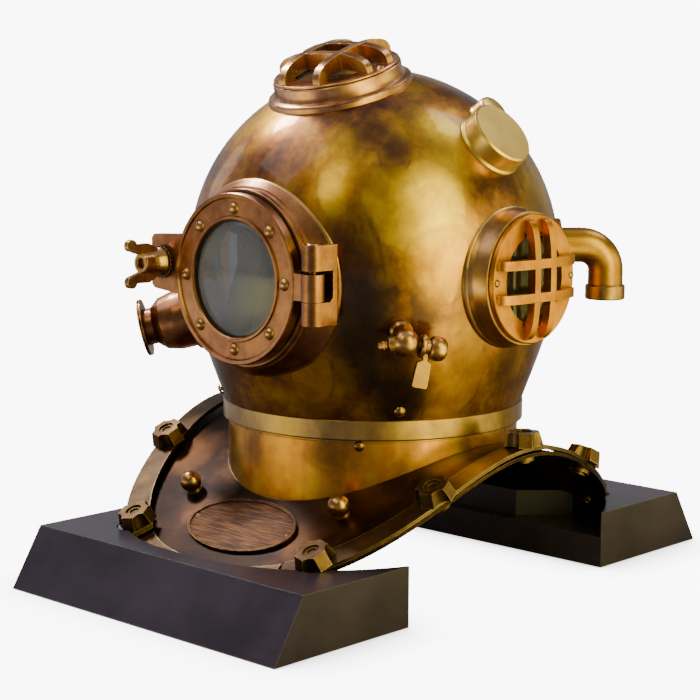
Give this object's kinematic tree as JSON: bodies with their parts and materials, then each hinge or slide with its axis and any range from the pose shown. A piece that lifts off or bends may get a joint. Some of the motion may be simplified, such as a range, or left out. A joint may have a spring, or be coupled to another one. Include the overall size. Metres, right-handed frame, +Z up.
{
  "type": "diving helmet",
  "caption": "Closed copper and brass diving helmet with a hinged front door, barred windows, a breastplate with clamped straps, and two low display plinths.",
  "frame": {"origin": "on the ground below the middle of the helmet's neck, midway between the two plinths", "axes": "+Z up along the helmet's own axis, -Y the way the helmet faces, +X the wearer's left"},
  "size_m": [0.3532, 0.5174, 0.4317],
  "materials": {
    "dome_patina": "mottled patina, clear lacquer",
    "port_brass": "orange-brown patina, polished edges",
    "window_brass": "olive-gold patina, polished edges",
    "top_bronze": "dark bronze patina",
    "hinge_copper": "copper-red polish with dark edges",
    "corselet_copper": "dark brown patina, lacquered",
    "neck_gold": "bright gold polish",
    "fitting_brass": "worn brass",
    "nut_brass": "cast brass, darkened",
    "plate_brass": "brushed brass with dark ground",
    "screw_brass": "worn brass",
    "plinth_wood": "black satin paint on wood",
    "window_glass": "clear, slightly grey",
    "door_glass": "clear, bulged and polished",
    "seal_rubber": "matt black",
    "gasket_leather": "dark, greased",
    "receiver_ebonite": "black ebonite"
  },
  "bodies": {
    "corselet": {"front_plinth": "plinth_wood", "rear_plinth": "plinth_wood", "front_support": "plinth_wood", "rear_support": "plinth_wood", "breastplate": "corselet_copper", "neck_collar": "neck_gold", "lower_ring": "neck_gold", "neck_gasket": "gasket_leather", "front_strap": "corselet_copper", "rear_strap": "corselet_copper", "left_strap": "corselet_copper", "right_strap": "corselet_copper", "strap_studs": "nut_brass", "star_nuts": "nut_brass", "ball_studs": "fitting_brass", "oval_plate": "plate_brass", "plate_rivets": "screw_brass", "collar_screws": "screw_brass"},
    "bonnet": {"bonnet_shell": "dome_patina", "bonnet_ring": "window_brass", "ring_screws": "screw_brass", "front_port": "port_brass", "hinge_block": "hinge_copper", "hinge_pin": "hinge_copper", "catch_bracket": "hinge_copper", "catch_pin": "screw_brass", "port_seal": "seal_rubber", "left_window": "window_brass", "right_window": "window_brass", "top_window": "top_bronze", "left_glass": "window_glass", "right_glass": "window_glass", "top_glass": "window_glass", "window_seals": "gasket_leather", "left_guard": "window_brass", "right_guard": "window_brass", "top_guard": "top_bronze", "guard_screws": "screw_brass", "telephone_cup": "fitting_brass", "telephone_receiver": "receiver_ebonite", "left_elbow": "window_brass", "right_elbow": "window_brass", "left_end_collar": "window_brass", "right_end_collar": "window_brass", "elbow_screws": "screw_brass", "spitcock_body": "fitting_brass", "exhaust_body": "port_brass"},
    "door": {"door_frame": "port_brass", "door_glass": "door_glass", "glass_seal": "seal_rubber", "glass_retainer": "port_brass", "door_bolts": "screw_brass", "clamp_bolt": "fitting_brass"},
    "washer": {"wing_washer": "nut_brass"},
    "wing_nut": {"wing_nut": "fitting_brass"},
    "spitcock_tap": {"spitcock_plug": "fitting_brass", "spitcock_lever": "fitting_brass"},
    "exhaust_wheel": {"exhaust_wheel": "port_brass"},
    "exhaust_valve": {"exhaust_stem": "fitting_brass"}
  },
  "joints": [
    {"name": "bonnet_turn", "type": "hinge", "parent": "corselet", "child": "bonnet", "pos_m": [0, 0, 0.1269], "axis": [0, 0, 1], "range_deg": [0, 45]},
    {"name": "door_swing", "type": "hinge", "parent": "bonnet", "child": "door", "pos_m": [0.0792, -0.152, 0.2506], "axis": [0, 0, 1], "range_deg": [0, 110]},
    {"name": "washer_slide", "type": "slide", "parent": "door", "child": "washer", "axis": [0, -1, 0], "range_m": [0, 0.003]},
    {"name": "wing_nut_turn", "type": "hinge", "parent": "washer", "child": "wing_nut", "pos_m": [-0.08, -0.1613, 0.2573], "axis": [0, -1, 0], "range_deg": [0, 720]},
    {"name": "spitcock_turn", "type": "hinge", "parent": "bonnet", "child": "spitcock_tap", "pos_m": [0.12747, -0.10396, 0.20831], "axis": [-0.5711, -0.7964, 0.1988], "range_deg": [0, 90]},
    {"name": "exhaust_wheel_turn", "type": "hinge", "parent": "bonnet", "child": "exhaust_wheel", "pos_m": [-0.1366, -0.12738, 0.197], "axis": [-0.7114, -0.6634, -0.2317], "range_deg": [0, 360]},
    {"name": "chin_button_slide", "type": "slide", "parent": "bonnet", "child": "exhaust_valve", "axis": [-0.7114, -0.6634, -0.2317], "range_m": [0, 0.005], "stiffness_N_per_m": 300, "springref_m": -0.005}
  ],
  "couplings": [
    {"joint": "wing_nut_turn", "follows": "washer_slide", "rad_per_m": 4188.8}
  ]
}
